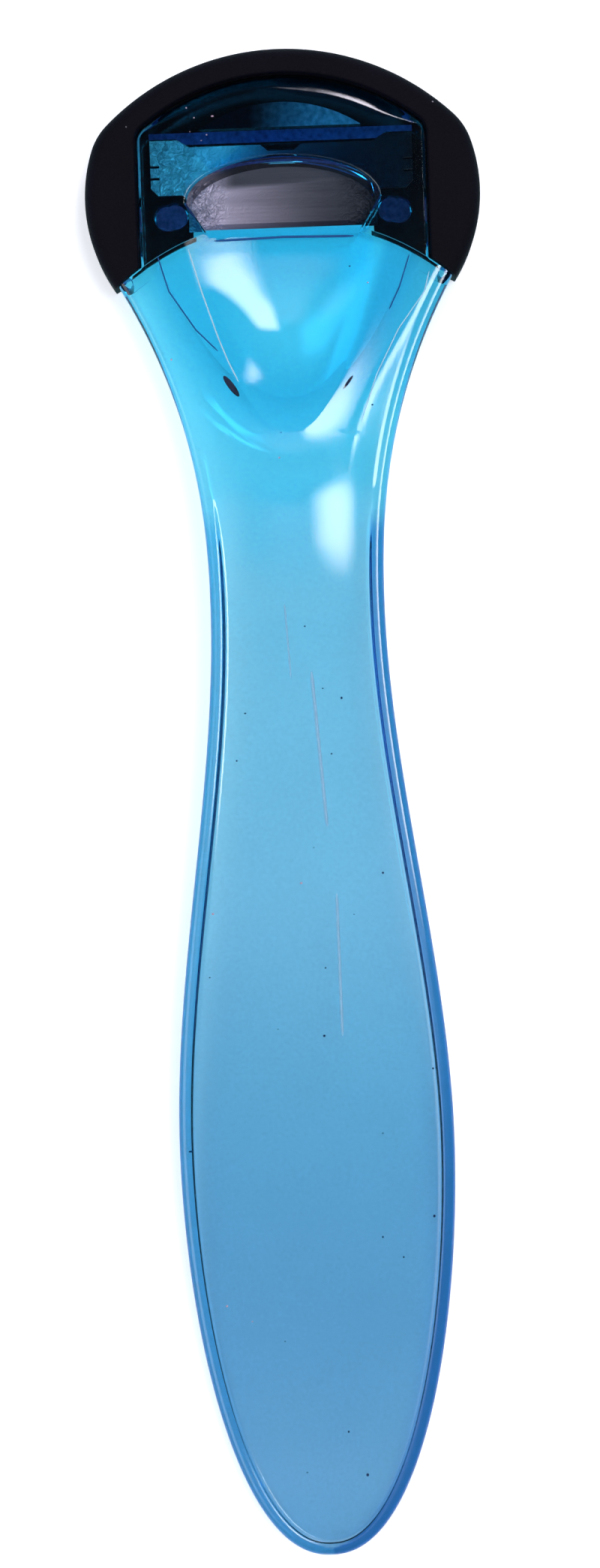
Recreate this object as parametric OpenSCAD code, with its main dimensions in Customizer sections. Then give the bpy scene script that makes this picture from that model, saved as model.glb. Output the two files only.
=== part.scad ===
// Callus shaver: a clear blue handle with a tongue that carries a T-shaped steel blade,
// and a black head cover that slides over the tongue and holds the blade down.
// It lies on its sole and its tail. +X is to the right, +Y towards the head, +Z up.
// Lengths along the shaver are counted from the tail, and the whole is centred at the end.

/* [Handle] */
// Length from the tail to the shoulder's outer corners
handle_l = 139; // [125:0.5:150]
// Widest width of the grip
grip_w = 30; // [26:0.5:34]
// Distance from the tail to the widest place of the grip
grip_y = 45; // [38:1:52]
// Narrowest width, at the neck
neck_w = 18.9; // [16:0.1:22]
// Length of the flare from the narrowest place to the shoulder's outer corners
flare_l = 35; // [30:1:41]
// Radius of the arc on which the shoulder meets the head cover
shoulder_r = 27.3; // [24:0.1:32]
// Thickness at the tail
tail_t = 3.4; // [2.8:0.1:4.2]
// Thickness at the neck
neck_t = 4.6; // [4:0.1:5.6]
// Height of the underside of the neck above the table
arch_rise = 3.4; // [2:0.1:5]
// Width of the raised rim round the grip panel
rim_w = 1.25; // [0.9:0.05:1.8]
// Width of the sloping wall between rim and panel
wall_w = 0.45; // [0.3:0.05:0.8]
// Depth of the sunk grip panel
panel_recess = 0.8; // [0.4:0.1:1.2]
// Distance from the shoulder's outer corners back to the place where the panel meets the rim
panel_stop = 21.5; // [18:0.5:26]
// Depth of the thumb scoop below the crest
scoop_depth = 1.9; // [1.2:0.1:2.4]
// Rise of the swelling round the scoop's edge
swell_rise = 0.5; // [0:0.05:0.6]
// Rise of the crowned middle of the neck
neck_crown = 0.4; // [0:0.05:0.5]
// Length of the thumb scoop from its rounded low end to the shoulder's outer corners
scoop_l = 16.6; // [14:0.1:20]
// Half width that the scoop gains with the square root of its length
scoop_spread = 2.3; // [1.8:0.05:2.6]
// Length of the keel under the head from its tip to the shoulder's outer corners
keel_l = 12.8; // [10:0.1:17]
// Half width that the keel gains with the square root of its length
keel_spread = 3.5; // [3:0.05:3.8]

/* [Tongue] */
// Width of the rail beside each end of the blade
rail_w = 2.2; // [1.8:0.05:2.6]
// Free space in the bed behind the back edge of the blade
bed_reach = 0.75; // [0.2:0.05:1]
// Distance from the wings' back edge to the front edge of the opening in the cover
front_reach = 6.35; // [5.5:0.05:8]
// Radius of the front edge of that opening
opening_r = 24.2; // [22:0.1:27]
// Rounding of the island's top edge
island_round = 1.2; // [0.6:0.1:1.5]
// How far the island's top lies below the top of the cover
island_drop = 0.6; // [0.4:0.1:1]
// Thickness of the flange that slides in the cover
flange_t = 3.6; // [3:0.1:4.4]
// Half the width of the blade window at its tips
window_half = 9.8; // [8.6:0.1:10.6]
// Distance from the lip to the window's tips
window_tip = 3.6; // [3:0.1:4.2]
// Rise of the window's upper curve above its tips
window_rise = 4.4; // [3.6:0.1:5]
// Half the width of the window's flat lower side
window_flat = 7.5; // [6:0.1:8.4]
// Widening of the window towards the top, as a factor
window_draft = 1.08; // [1.02:0.01:1.12]
// Distance from the shoulder's corners to the lip in front of the cutting edge
lip_reach = 5; // [4.4:0.1:5.6]

/* [Blade] */
// Width of the blade over its wings
blade_w = 28.7; // [27:0.1:29.6]
// Width of the blade's stem, which is the length of the cutting edge
stem_w = 20.6; // [18:0.1:22]
// Distance from the cutting edge to the relieved part of the back edge
blade_h = 9.25; // [8.6:0.05:9.8]
// Height of the wings
wing_h = 6; // [4.5:0.1:6.8]
// Radius between the wings and the stem
wing_fillet = 0.9; // [0.5:0.1:1.4]
// Thickness of the blade
blade_t = 0.4; // [0.3:0.05:0.6]
// Width of the ground bevel along the cutting edge
bevel_w = 0.9; // [0.5:0.1:1.4]
// Distance from the lip's upper edge to the cutting edge
mouth_gap = 1.2; // [0.9:0.1:1.6]
// Free gap between the foot of the lip's slope and the cutting edge
throat_gap = 0.35; // [0.2:0.05:0.6]
// Diameter of each lobe of the two-lobed studs that stand beside the stem
stud_d = 2.9; // [2.4:0.1:3.2]
// Distance between the two lobes of a stud
stud_lobe = 0.85; // [0.4:0.05:1]
// Distance from the cutting edge to the studs
stud_up = 1.75; // [1.6:0.05:2]

/* [Head cover] */
// Width of the cover's frame beside the opening, at its widest place
frame_w = 5.65; // [5:0.05:6.5]
// Radius of the front of the cover
front_r = 27.1; // [25:0.1:30]
// Radius of the bulging sides of the cover
side_r = 17.3; // [16:0.1:19]
// Radius that joins the sides to the front
corner_r = 7; // [5:0.1:9]
// Distance from the shoulder's outer corners to the widest place of the cover
widest_reach = 9.5; // [8.5:0.1:10.5]
// Thickness of the sole under the blade
sole_t = 1.1; // [0.9:0.05:1.5]
// Thickness of the lip round the opening
lip_t = 1.6; // [1.2:0.1:2]
// Wall between the front of the cover and the pocket inside it
front_wall = 1.5; // [1.2:0.1:1.9]
// Overlap of the lip over the flange at the front
lip_front = 1.25; // [0.9:0.05:1.6]
// Overlap of the lip over the flange at the sides
lip_side = 0.95; // [0.7:0.05:1.1]
// Rounding of the cover's upper edge
cover_round = 1.3; // [0.6:0.1:1.5]

/* [Fits] */
// Gap between the sole and the blade
run_gap = 0.1; // [0.05:0.01:0.15]
// Gap between the flange or island and the cover around it
side_gap = 0.2; // [0.15:0.01:0.3]
// Gap between the shoulder and the cover's ends
butt_gap = 0.2; // [0.15:0.01:0.3]
// Play of the blade between its studs and against its back stop
blade_play = 0.05; // [0.03:0.01:0.1]

/* [Hidden] */

$fn = 96;
// Small overlap that lets joined shapes run into each other
sink = 1.2;
// Overshoot of a cut past the faces that it opens
past = 1;

// Shape of the outline: powers of the tail's curve and of the flare to the shoulder
tail_power = 1.95;
tail_fullness = 2.2;
flare_power = 2.3;
// Half width of the blunt end of the tail
nose_half = 0.8;
// The underside is flat on the table up to here, and the arch is full this far before the neck
tail_rest_y = 9;
arch_run = 19;
// Lengths over which the panel, the scoop and the keel's sides run out
panel_ramp = 13;
scoop_fall_l = 11.1;
scoop_run = 9;
scoop_end_depth = 0.75;
keel_ramp = 8;
keel_z = 0.3;
// The swelling dies away outwards, and towards the head over a length that ends past the shoulder
swell_w = 2.2;
swell_past = 4;
swell_fade = 22;
// The crown grows from just before the neck, ends just before the scoop and leaves the rim free
crown_before = 2;
crown_grow = 9;
crown_stop = 1.4;
crown_fade = 7;
crown_margin = 0.35;
// Roundings of the handle's edges, given as steps inwards and up or down
under_round = 1.4;
top_round = 0.8;
round_steps = 3;

// Heights in the head, stacked up from the table
blade_z = sole_t + run_gap;
bed_z = blade_z + blade_t;
flange_z = bed_z + flange_t;
cover_h = flange_z + side_gap + lip_t;
island_z = cover_h - island_drop;
shoulder_drop = 0.2;
shoulder_z = cover_h - shoulder_drop;

// Places along the handle
neck_y = handle_l - flare_l;
arch_y = neck_y - arch_run;
panel_end_y = handle_l - panel_stop;
scoop_y = handle_l - scoop_l;
scoop_low_y = scoop_y + scoop_fall_l;
keel_y = handle_l - keel_l;

// Places along the head, each counted on from the one before
lip_y = handle_l + lip_reach;
window_y = lip_y + window_tip;
edge_y = lip_y + mouth_gap;
throat_y = edge_y - throat_gap;
stud_y = edge_y + stud_up;
back_y = edge_y + blade_h;
corner_step = 0.8;
corner_y = back_y + corner_step;
wing_y = corner_y - wing_h;
stop_y = corner_y + bed_reach;
opening_y = corner_y + front_reach;
pocket_y = opening_y + lip_front;
overall_l = pocket_y + front_wall;
front_cy = overall_l - front_r;
side_y = handle_l + widest_reach;

// Widths across the head, from the blade outwards
stud_x = stem_w / 2 + blade_play + stud_d / 2;
stud_step = 0.15;
bed_half = blade_w / 2 + blade_play;
pocket_half = bed_half + rail_w + side_gap;
opening_half = pocket_half - lip_side;
head_w = 2 * (opening_half + frame_w);
side_cx = head_w / 2 - side_r;

// The shoulder ends a little inside the cover's outline
shoulder_inset = 0.56;
shoulder_half = side_cx + sqrt(side_r * side_r - widest_reach * widest_reach) - shoulder_inset;
shoulder_cy = handle_l - sqrt(shoulder_r * shoulder_r - shoulder_half * shoulder_half);

// Pocket and mouth in the cover
opening_corner = 2.2;
pocket_r = opening_r + lip_front;
pocket_corner = opening_corner + lip_side;
mouth_in = 0.4;
mouth_half = stem_w / 2 - mouth_in;
mouth_y = edge_y + mouth_gap;
cover_drop = 2;
cover_low_y = handle_l - cover_drop;

// Blade details: a back edge that swings in past the wings, a notch in its middle, and
// two slits in each wing's end
relief_in = 0.3;
relief_half = stem_w / 2 - relief_in;
relief_run = 1.1;
relief_steps = 6;
notch_top = 4.5;
notch_foot = 2.8;
notch_h = 0.7;
wing_chamfer = 0.8;
fillet_cols = 5;
slit_l = 1;
slit_w = 0.28;
slit_low = 1.85;
slit_high = 3.15;
edge_t = 0.05;

// Hollow in the underside of the tongue, in front of the blade
hollow_gap = 0.25;
hollow_y = stop_y + hollow_gap;
hollow_r = 15.7;
hollow_rise = 2.7;
hollow_h = 1.2;

// Roundings of the sole's outer edge
sole_in = 3;
sole_up = 2.2;

function mix(a, b, t) = a + (b - a) * t;
function clamp01(t) = min(max(t, 0), 1);
function smooth(t) = let(u = clamp01(t)) u * u * (3 - 2 * u);
function mirrored(pts) = [for (k = [len(pts) - 1:-1:0]) [-pts[k][0], pts[k][1]]];
function arc(c, r, from, to, steps) =
    [for (k = [0:steps]) let(a = mix(from, to, k / steps)) [c[0] + r * cos(a), c[1] + r * sin(a)]];

// Half width of the handle's outline
function tail_half(y) =
    grip_w / 2 * pow(1 - pow(1 - y / grip_y, tail_power), 1 / tail_fullness);
function waist_half(y) = mix(grip_w, neck_w, smooth((y - grip_y) / (neck_y - grip_y))) / 2;
function flare_half(y) =
    mix(neck_w / 2, shoulder_half, pow((y - neck_y) / flare_l, flare_power));
function half_width(y) =
    y <= grip_y ? max(nose_half, tail_half(y)) : y <= neck_y ? waist_half(y) : flare_half(y);

// Height of the underside: a flat tail, a long arch, and a keel that comes down to the sole
function arch(y) = arch_rise * smooth((y - tail_rest_y) / (arch_y - tail_rest_y));
function keel_out(x, y) =
    (keel_y + pow(x / keel_spread, 2) - y) / norm([1, 2 * x / pow(keel_spread, 2)]);
function keel(x, y) = pow(1 - clamp01(keel_out(x, y) / keel_ramp), 2);
function under(x, y) = mix(arch(y), keel_z, keel(x, y));

// Height of the rim, and of the top inside it with the panel and the thumb scoop
function crest(y) =
    y <= neck_y ? arch(y) + mix(tail_t, neck_t, smooth(y / neck_y))
                : mix(arch_rise + neck_t, shoulder_z, smooth((y - neck_y) / flare_l));
function panel(y) = panel_recess * smooth((panel_end_y - y) / panel_ramp);
function scoop_half(y) = scoop_spread * sqrt(max(y - scoop_y, 0));
function scoop_fall(y) = scoop_depth * smooth((y - scoop_y) / (scoop_low_y - scoop_y));
function scoop_mid(y) = mix(scoop_fall(y), scoop_end_depth, smooth((y - scoop_low_y) / scoop_run));
function scoop(x, y) =
    abs(x) >= scoop_half(y) ? 0 : scoop_mid(y) * (1 - pow(x / scoop_half(y), 2));
function scoop_out(x, y) =
    (scoop_y + pow(x / scoop_spread, 2) - y) / norm([1, 2 * x / pow(scoop_spread, 2)]);
function swell_left(y) = smooth((handle_l + swell_past - y) / swell_fade);
function swell(x, y) = swell_rise * swell_left(y) * exp(-max(scoop_out(x, y), 0) / swell_w);
crown_half = neck_w / 2 - rim_w - wall_w - crown_margin;
function crown_grown(y) = smooth((y - neck_y + crown_before) / crown_grow);
function crown_left(y) = smooth((scoop_y - crown_stop - y) / crown_fade);
function crown(x, y) =
    neck_crown * crown_grown(y) * crown_left(y) * pow(clamp01(1 - pow(x / crown_half, 2)), 2);
function top(x, y) = crest(y) - panel(y) - scoop(x, y) + swell(x, y) + crown(x, y);

// Stations along the handle, close together where the outline or the top turns
tail_rows = 15;
waist_rows = 13;
neck_rows = 10;
scoop_rows = 20;
loft_end_y = shoulder_cy + shoulder_r + past;
stations = concat(
    [for (k = [0:tail_rows]) grip_y * (1 - cos(90 * k / tail_rows))],
    [for (k = [1:waist_rows]) mix(grip_y, neck_y, k / waist_rows)],
    [for (k = [1:neck_rows]) mix(neck_y, scoop_y, k / neck_rows)],
    [for (k = [1:scoop_rows]) mix(scoop_y, loft_end_y, k / scoop_rows)]);
function edge_point(i) = [half_width(stations[i]), stations[i]];
function edge_run(i) = edge_point(min(i + 1, len(stations) - 1)) - edge_point(max(i - 1, 0));
function edge_out(i) = let(d = edge_run(i)) [d[1], -d[0]] / norm(d);
function ring_point(i, inset) = edge_point(i) - edge_out(i) * inset;

// Half of the loop of points round the handle at one station, from the bottom's middle
// over the right-hand edge to the top's middle
under_cols = 7;
scoop_cols = 6;
flank_cols = 5;
fold_least = 0.25;
fold_most = 0.85;
function at_under(p, up) = [p[0], p[1], under(p[0], p[1]) + up];
function at_crest(p, down) = [p[0], p[1], crest(p[1]) - down];
function at_top(p) = [p[0], p[1], top(p[0], p[1])];
function fold_x(y, inner) =
    scoop_half(y) <= 0 ? inner / 2 : min(max(scoop_half(y), inner * fold_least), inner * fold_most);
function half_loop(i) =
    let(base = ring_point(i, under_round), inner = ring_point(i, rim_w + wall_w))
    let(fold = fold_x(inner[1], inner[0]))
    concat(
        [for (k = [0:under_cols - 1]) at_under([base[0] * k / under_cols, base[1]], 0)],
        [for (k = [0:round_steps])
            let(a = 90 * k / round_steps)
            at_under(ring_point(i, under_round * (1 - sin(a))), under_round * (1 - cos(a)))],
        [for (k = [0:round_steps])
            let(a = 90 * k / round_steps)
            at_crest(ring_point(i, top_round * (1 - cos(a))), top_round * (1 - sin(a)))],
        [at_crest(ring_point(i, rim_w), 0)],
        [for (k = [0:flank_cols - 1]) at_top([mix(inner[0], fold, k / flank_cols), inner[1]])],
        [for (k = [0:scoop_cols]) at_top([mix(fold, 0, k / scoop_cols), inner[1]])]);
function loop(i) =
    let(half = half_loop(i), last = len(half) - 1)
    concat(half, [for (k = [last - 1:-1:1]) [-half[k][0], half[k][1], half[k][2]]]);

// Oval loop past the shoulder's cut, where the body ends
function end_loop(m) =
    let(last = len(stations) - 1, w = half_width(stations[last]), y = stations[last] + past)
    [for (k = [0:m - 1])
        let(a = 360 * k / m)
        [w * sin(a), y, shoulder_z * (1 - cos(a)) / 2]];

// Solid through a row of closed loops. The first loop is closed rung by rung from side to
// side, because its points don't lie in one plane, and the last one is a flat end.
module lofted_body() {
    loops = [for (i = [0:len(stations) - 1]) loop(i)];
    rows = concat(loops, [end_loop(len(loops[0]))]);
    m = len(rows[0]);
    n = len(rows);
    flat_under = under_cols;
    flat_top = under_cols + 2 * (round_steps + 1) + 1;
    skin = [for (i = [0:n - 2], k = [0:m - 1])
        let(a = i * m + k, b = i * m + (k + 1) % m)
        each [[a, b, b + m], [a, b + m, a + m]]];
    tail_under = [for (k = [flat_under:-1:-flat_under]) [flat_under + 1, (k + m) % m, (k - 1 + m) % m]];
    tail_rungs = [for (k = [flat_under + 1:flat_top - 2]) [m - k, m - k - 1, k + 1, k]];
    tail_top = [for (k = [m - flat_top + 1:-1:flat_top + 1]) [flat_top - 1, k, k - 1]];
    end = [for (k = [0:m - 1]) (n - 1) * m + k];
    polyhedron([for (row = rows) each row], concat(skin, tail_under, tail_rungs, tail_top, [end]));
}

// Everything beyond the arc on which the cover meets the shoulder, moved by a gap
module beyond_shoulder(gap) {
    reach = overall_l - handle_l + 2 * past;
    difference() {
        translate([-head_w, cover_low_y - past - reach / 4, -past])
            cube([2 * head_w, 2 * reach, cover_h + 3 * past]);
        translate([0, shoulder_cy, -2 * past]) cylinder(h = cover_h + 5 * past, r = shoulder_r + gap);
    }
}

// Points along the corner and the front half of an outline, and along the cover's side
corner_cols = 6;
front_cols = 12;
side_cols = 12;
// Steps round the rounded edges of the island and the cover
edge_steps = 4;

// Outline with straight sides and an arc in front, as the tongue and its seats have
function slab_side(half, r, front, corner, low, inset) =
    let(cy = front - r, cx = half - corner, jy = cy + sqrt(pow(r - corner, 2) - cx * cx))
    let(turn = atan2(jy - cy, cx))
    concat(
        [[half - inset, low]],
        arc([cx, jy], corner - inset, 0, turn, corner_cols),
        arc([0, cy], r - inset, turn + (90 - turn) / front_cols, 90, front_cols - 1));
function slab_outline(side) = concat(side, [for (k = [len(side) - 2:-1:0]) [-side[k][0], side[k][1]]]);
function opening_side(inset) =
    slab_side(opening_half, opening_r, opening_y, opening_corner, cover_low_y - sink, inset);
function pocket_side(inset) =
    slab_side(pocket_half, pocket_r, pocket_y, pocket_corner, cover_low_y - sink, inset);

// Stack of outlines, each at its own height, closed at both ends
module stacked(outlines, heights) {
    m = len(outlines[0]);
    n = len(outlines);
    points = [for (i = [0:n - 1], p = outlines[i]) [p[0], p[1], heights[i]]];
    skin = [for (i = [0:n - 2], k = [0:m - 1])
        let(a = i * m + k, b = i * m + (k + 1) % m)
        each [[a, b + m, b], [a, a + m, b + m]]];
    polyhedron(points, concat(skin, [[for (k = [0:m - 1]) k]], [[for (k = [m - 1:-1:0]) (n - 1) * m + k]]));
}

// Raised middle of the tongue, with a rounded top edge
module island() {
    turns = [for (k = [0:edge_steps]) 90 * k / edge_steps];
    insets = concat([0], [for (a = turns) island_round * (1 - cos(a))]);
    heights = concat([bed_z + sink], [for (a = turns) island_z - island_round * (1 - sin(a))]);
    stacked([for (d = insets) slab_outline(opening_side(side_gap + d))], heights);
}

// Flange that slides in the cover, with the bed for the blade on its underside
module flange() {
    difference() {
        translate([0, 0, blade_z])
            linear_extrude(flange_z - blade_z) polygon(slab_outline(pocket_side(side_gap)));
        translate([-bed_half, 0, blade_z - past]) cube([2 * bed_half, stop_y, blade_t + past]);
        hollow();
    }
}

// Arc-shaped hollow under the front of the tongue
module hollow() {
    translate([0, 0, blade_z - past]) linear_extrude(hollow_h + past) intersection() {
        translate([0, hollow_y + hollow_rise - hollow_r]) circle(r = hollow_r);
        translate([-hollow_r, hollow_y]) square([2 * hollow_r, hollow_r]);
    }
}

// Plan of the window: half an ellipse above its tips, slanted corners and a flat lip below
window_cols = 24;
function window_points() = concat(
    [for (k = [0:window_cols])
        let(a = 180 * k / window_cols)
        [window_half * cos(a), window_y + window_rise * sin(a)]],
    [[-window_flat, lip_y], [window_flat, lip_y]]);
module window() {
    difference() {
        translate([0, lip_y, -past])
            linear_extrude(island_z + 2 * past, scale = window_draft)
                translate([0, -lip_y]) polygon(window_points());
        lip_slope();
    }
}

// Slope from just under the lip's upper edge down to the throat in front of the cutting edge
slope_drop = 0.3;
module lip_slope() {
    slope_z = shoulder_z - scoop_end_depth - slope_drop;
    translate([-blade_w / 2, 0, 0]) rotate([90, 0, 90])
        linear_extrude(blade_w)
            polygon([[lip_y - past, -2 * past], [throat_y, -2 * past], [throat_y, blade_z],
                     [lip_y, slope_z], [lip_y - past, slope_z]]);
}

// Two-lobed stud beside the stem, and the key that stands in the notch of the back edge
module stud(side) {
    for (lobe = [0, 1])
        translate([side * (stud_x + lobe * stud_lobe), stud_y - lobe * stud_step, blade_z])
            cylinder(h = blade_t + sink, d = stud_d);
}
module key() {
    deep = notch_h - blade_play * 2;
    foot = notch_foot / 2 - blade_play * 2;
    wide = notch_top / 2 - blade_play * 2;
    key_reach = stop_y - back_y + hollow_gap / 2;
    translate([0, back_y, blade_z]) linear_extrude(blade_t + sink)
        polygon([[-wide, key_reach], [-wide, 0], [-foot, -deep], [foot, -deep], [wide, 0],
                 [wide, key_reach]]);
}

module tongue() {
    intersection() {
        union() {
            flange();
            island();
        }
        beyond_shoulder(-sink);
    }
    stud(-1);
    stud(1);
    key();
}

module handle() {
    color([0.2, 0.62, 0.86, 0.7])
        translate([0, -overall_l / 2, 0])
            difference() {
                union() {
                    difference() {
                        lofted_body();
                        beyond_shoulder(0);
                    }
                    tongue();
                }
                window();
            }
}

// Plan of the cover: bulging sides and a broad round front, joined by smaller arcs
function meet(a, ra, b, rb) =
    let(d = norm(b - a), along = (ra * ra - rb * rb + d * d) / (2 * d), u = (b - a) / d)
    a + along * u + sqrt(ra * ra - along * along) * [u[1], -u[0]];
function cover_side(inset) =
    let(fc = [0, front_cy], sc = [side_cx, side_y])
    let(cc = meet(fc, front_r - corner_r, sc, side_r - corner_r))
    let(a0 = asin((cover_low_y - side_y) / side_r))
    let(a1 = atan2(cc[1] - sc[1], cc[0] - sc[0]), a2 = atan2(cc[1] - fc[1], cc[0] - fc[0]))
    concat(
        arc(sc, side_r - inset, a0, a1, side_cols),
        arc(cc, corner_r - inset, a1 + (a2 - a1) / corner_cols, a2, corner_cols - 1),
        arc(fc, front_r - inset, a2 + (90 - a2) / front_cols, 90, front_cols - 1));
module cover_shell() {
    turns = [for (k = [0:edge_steps]) 90 * k / edge_steps];
    insets = concat([for (a = turns) sole_in * (1 - sin(a))], [for (a = turns) cover_round * (1 - cos(a))]);
    heights = concat([for (a = turns) sole_up * (1 - cos(a))],
                     [for (a = turns) cover_h - cover_round * (1 - sin(a))]);
    stacked([for (d = insets) slab_outline(cover_side(d))], heights);
}

module head_cover() {
    color([0.07, 0.07, 0.09])
        translate([0, -overall_l / 2, 0])
            difference() {
                intersection() {
                    cover_shell();
                    beyond_shoulder(butt_gap);
                }
                translate([0, 0, sole_t])
                    linear_extrude(flange_z + side_gap - sole_t) polygon(slab_outline(pocket_side(0)));
                translate([0, 0, flange_z])
                    linear_extrude(lip_t + past) polygon(slab_outline(opening_side(0)));
                translate([-mouth_half, cover_low_y - past, -past])
                    cube([2 * mouth_half, mouth_y - cover_low_y + past, sole_t + 2 * past]);
            }
}

// T-shaped blade with a relieved and notched back edge, and a ground cutting edge
function slit(y) = [
    [blade_w / 2, y - slit_w / 2],
    [blade_w / 2 - slit_l, y - slit_w / 2],
    [blade_w / 2 - slit_l, y + slit_w / 2],
    [blade_w / 2, y + slit_w / 2]];
function relief(t) =
    [relief_half + relief_run * (1 - t), mix(corner_y, back_y, smooth(t))];
function blade_side() = concat(
    [[stem_w / 2, edge_y]],
    arc([stem_w / 2 + wing_fillet, wing_y - wing_fillet], wing_fillet, 180, 90, fillet_cols),
    [[blade_w / 2 - wing_chamfer, wing_y], [blade_w / 2, wing_y + wing_chamfer]],
    slit(wing_y + slit_low),
    slit(wing_y + slit_high),
    [[blade_w / 2, corner_y]],
    [for (k = [0:relief_steps]) relief(k / relief_steps)],
    [[notch_top / 2, back_y], [notch_foot / 2, back_y - notch_h]]);
module blade() {
    color([0.72, 0.7, 0.74])
        translate([0, -overall_l / 2, 0])
            intersection() {
                translate([0, 0, blade_z - past])
                    linear_extrude(blade_t + 2 * past) polygon(concat(blade_side(), mirrored(blade_side())));
                translate([-blade_w, 0, 0]) rotate([90, 0, 90])
                    linear_extrude(2 * blade_w)
                        polygon([[edge_y, blade_z], [corner_y + past, blade_z], [corner_y + past, bed_z],
                                 [edge_y + bevel_w, bed_z], [edge_y, blade_z + edge_t]]);
            }
}

handle();
head_cover();
blade();
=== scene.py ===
"""Looks of a callus shaver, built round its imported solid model.

The shaver is a clear blue paddle handle whose windowed tongue holds a T-shaped steel blade under it,
and a matte black head cover that slides over the tongue. Lengths in the helpers are millimetres
counted from the tail, as on a drawing; the finished meshes are metres in the frame of the solid model.
"""

import math
import random

import bmesh
import bpy
import numpy as np
from bpy.props import FloatProperty, FloatVectorProperty, IntProperty, PointerProperty
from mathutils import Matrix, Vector


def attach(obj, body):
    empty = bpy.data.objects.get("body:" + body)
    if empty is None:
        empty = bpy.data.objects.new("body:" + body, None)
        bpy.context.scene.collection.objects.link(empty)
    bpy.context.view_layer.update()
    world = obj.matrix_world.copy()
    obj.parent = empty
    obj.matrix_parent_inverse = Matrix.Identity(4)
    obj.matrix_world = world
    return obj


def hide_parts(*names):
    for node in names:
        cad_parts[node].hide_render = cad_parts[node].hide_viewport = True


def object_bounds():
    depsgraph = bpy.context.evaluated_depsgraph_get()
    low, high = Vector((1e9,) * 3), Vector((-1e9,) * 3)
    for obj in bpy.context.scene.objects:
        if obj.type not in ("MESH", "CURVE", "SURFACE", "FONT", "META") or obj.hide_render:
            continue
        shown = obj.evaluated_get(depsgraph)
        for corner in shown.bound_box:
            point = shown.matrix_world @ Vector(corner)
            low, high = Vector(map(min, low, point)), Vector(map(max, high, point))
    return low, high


bl_info = {
    "name": "Callus Shaver",
    "version": (1, 0, 0),
    "blender": (4, 5, 0),
    "location": "View3D > Sidebar > Shaver",
    "description": "Builds the looks of a callus shaver round its solid model",
    "category": "Object",
}

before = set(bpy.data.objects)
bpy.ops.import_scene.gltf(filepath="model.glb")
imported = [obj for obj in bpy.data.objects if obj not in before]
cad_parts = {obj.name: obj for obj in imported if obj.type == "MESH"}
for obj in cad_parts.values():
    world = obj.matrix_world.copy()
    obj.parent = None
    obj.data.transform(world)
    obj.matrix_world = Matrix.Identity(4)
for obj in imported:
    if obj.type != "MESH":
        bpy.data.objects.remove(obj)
cad_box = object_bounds()

MM = 0.001
OVERALL_L = (cad_box[1].y - cad_box[0].y) / MM

# Handle, as in the solid model
HANDLE_L = 139
GRIP_Y = 45
FLARE_L = 35
NECK_Y = HANDLE_L - FLARE_L
TAIL_POWER = 1.95
TAIL_FULLNESS = 2.2
FLARE_POWER = 2.3
TAIL_T = 3.4
NECK_T = 4.6
ARCH_RISE = 3.4
TAIL_REST_Y = 9
ARCH_Y = NECK_Y - 19
PANEL_END_Y = HANDLE_L - 21.5
PANEL_RAMP = 13
SCOOP_Y = HANDLE_L - 16.6
SCOOP_LOW_Y = SCOOP_Y + 11.1
SCOOP_RUN = 9
SCOOP_END_DEPTH = 0.75
SCOOP_SPREAD = 2.3
KEEL_Y = HANDLE_L - 12.8
KEEL_SPREAD = 3.5
KEEL_RAMP = 8
KEEL_Z = 0.3
UNDER_ROUND = 1.4
TOP_ROUND = 0.8
CREASE_SOFT = 0.15
CREASE_FADE = 0.5

# Swelling round the scoop, outer facets beside it, and the crowned neck below it
SWELL_END_Y = HANDLE_L + 4
SWELL_FADE = 22
SWELL_SPREAD = 2.2
FLANK_IN_NECK = 4.6
FLANK_IN_HEAD = 2.2
FLANK_TURN_Y = 120
FLANK_TURN = 18
FLANK_START_Y = 117
FLANK_START = 8
FACET_FALL = 0.04
BEAD_W = 0.3
CROWN_Y = 102
CROWN_RUN = 9
CROWN_END_Y = SCOOP_Y - 1.4
CROWN_END = 7
CROWN_HALF = 7.4

# Where the loft's columns gather along the keel's fold and the scoop's crease
UNDER_FOLD = (0.35, 0.92)
TOP_FOLD = (0.3, 0.88)
PACKING = 1.5

# Head, from the lip in front of the cutting edge to the front of the cover
LIP_Y = HANDLE_L + 5
EDGE_Y = LIP_Y + 1.2
THROAT_Y = EDGE_Y - 0.12
BACK_Y = EDGE_Y + 9.25
CORNER_Y = BACK_Y + 0.8
STOP_Y = CORNER_Y + 0.75
OPENING_Y = CORNER_Y + 6.35
LIP_FRONT = 1.25
LIP_SIDE = 0.95
POCKET_Y = OPENING_Y + LIP_FRONT
OPENING_R = 24.2
OPENING_CORNER = 2.2
FRONT_R = 27.1
SIDE_R = 17.3
CORNER_R = 7
SIDE_Y = HANDLE_L + 9.5
SHOULDER_R = 27.3
SHOULDER_INSET = 0.56
BLADE_HALF = 14.35
STEM_HALF = 10.3
BED_HALF = BLADE_HALF + 0.05
SIDE_GAP = 0.2
BUTT_GAP = 0.2
POCKET_HALF = BED_HALF + 2.2 + SIDE_GAP
OPENING_HALF = POCKET_HALF - LIP_SIDE
HEAD_HALF = OPENING_HALF + 5.65
SIDE_CX = HEAD_HALF - SIDE_R
SHOULDER_HALF = SIDE_CX + math.sqrt(SIDE_R**2 - (SIDE_Y - HANDLE_L) ** 2) - SHOULDER_INSET
SHOULDER_CY = HANDLE_L - math.sqrt(SHOULDER_R**2 - SHOULDER_HALF**2)
WINDOW_HALF = 9.8
WINDOW_Y = LIP_Y + 3.6
WINDOW_RISE = 4.4
WINDOW_FLAT = 7.5
WINDOW_DRAFT = 1.08
STUD_D = 2.9
STUD_X = STEM_HALF + 0.05 + STUD_D / 2
STUD_Y = EDGE_Y + 1.75
STUD_LOBE = 0.85
STUD_STEP = 0.15

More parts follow.
